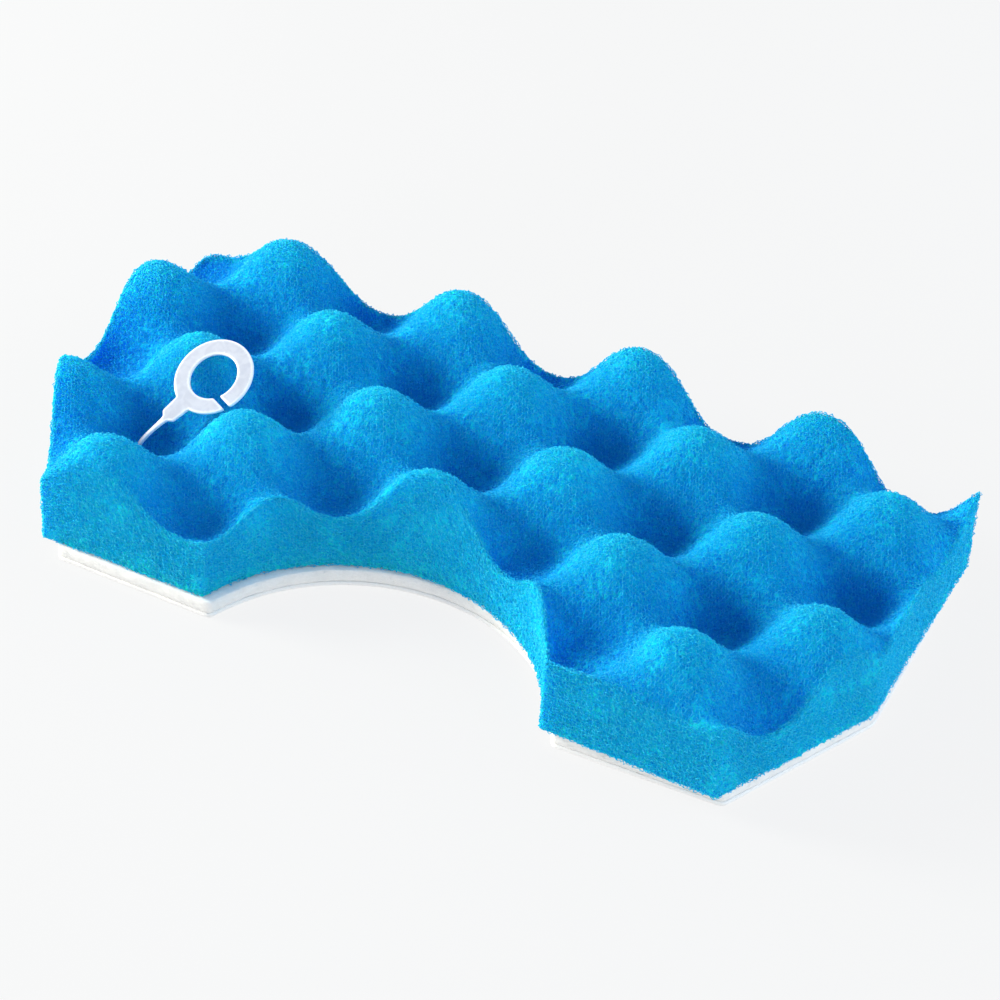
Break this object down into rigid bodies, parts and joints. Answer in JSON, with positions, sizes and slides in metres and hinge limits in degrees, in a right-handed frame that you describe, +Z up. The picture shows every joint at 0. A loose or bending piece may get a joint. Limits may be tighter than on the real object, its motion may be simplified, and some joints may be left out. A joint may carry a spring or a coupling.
{
  "type": "sponge filter",
  "caption": "Egg-crate foam sponge filter with an arc recess, lying on a two-ply white felt pad, with a split-ring pull tag through the foam.",
  "frame": {"origin": "underside of the pad, below the middle of the object's box", "axes": "+X along the filter, +Z up, and the arc recess faces -Y"},
  "size_m": [0.245, 0.119, 0.0446],
  "materials": {
    "foam_blue": "open-cell reticulated polyurethane foam, matte, cells about 1 mm",
    "felt_white": "needled non-woven polyester felt, matte",
    "scrim_white": "thin calendered non-woven backing, matte",
    "tag_plastic": "milky translucent moulded polypropylene, satin"
  },
  "bodies": {
    "pad": {"backing_scrim": "scrim_white", "felt_pad": "felt_white"},
    "sponge": {"egg_crate_foam": "foam_blue", "tag_anchor": "tag_plastic"},
    "tag": {"tag_stem": "tag_plastic"},
    "ring": {"pull_ring": "tag_plastic"}
  },
  "joints": [
    {"name": "sponge_lift", "type": "slide", "parent": "pad", "child": "sponge", "axis": [0, 0, 1], "range_m": [0, 0.06]},
    {"name": "tag_flex", "type": "hinge", "parent": "sponge", "child": "tag", "pos_m": [-0.088, -0.03, 0.0209], "axis": [0.8251, -0.565, 0], "range_deg": [0, 55]},
    {"name": "ring_flex", "type": "hinge", "parent": "tag", "child": "ring", "pos_m": [-0.08241, -0.02458, 0.03011], "axis": [0.8985, -0.4281, -0.0973], "range_deg": [0, 45]}
  ]
}
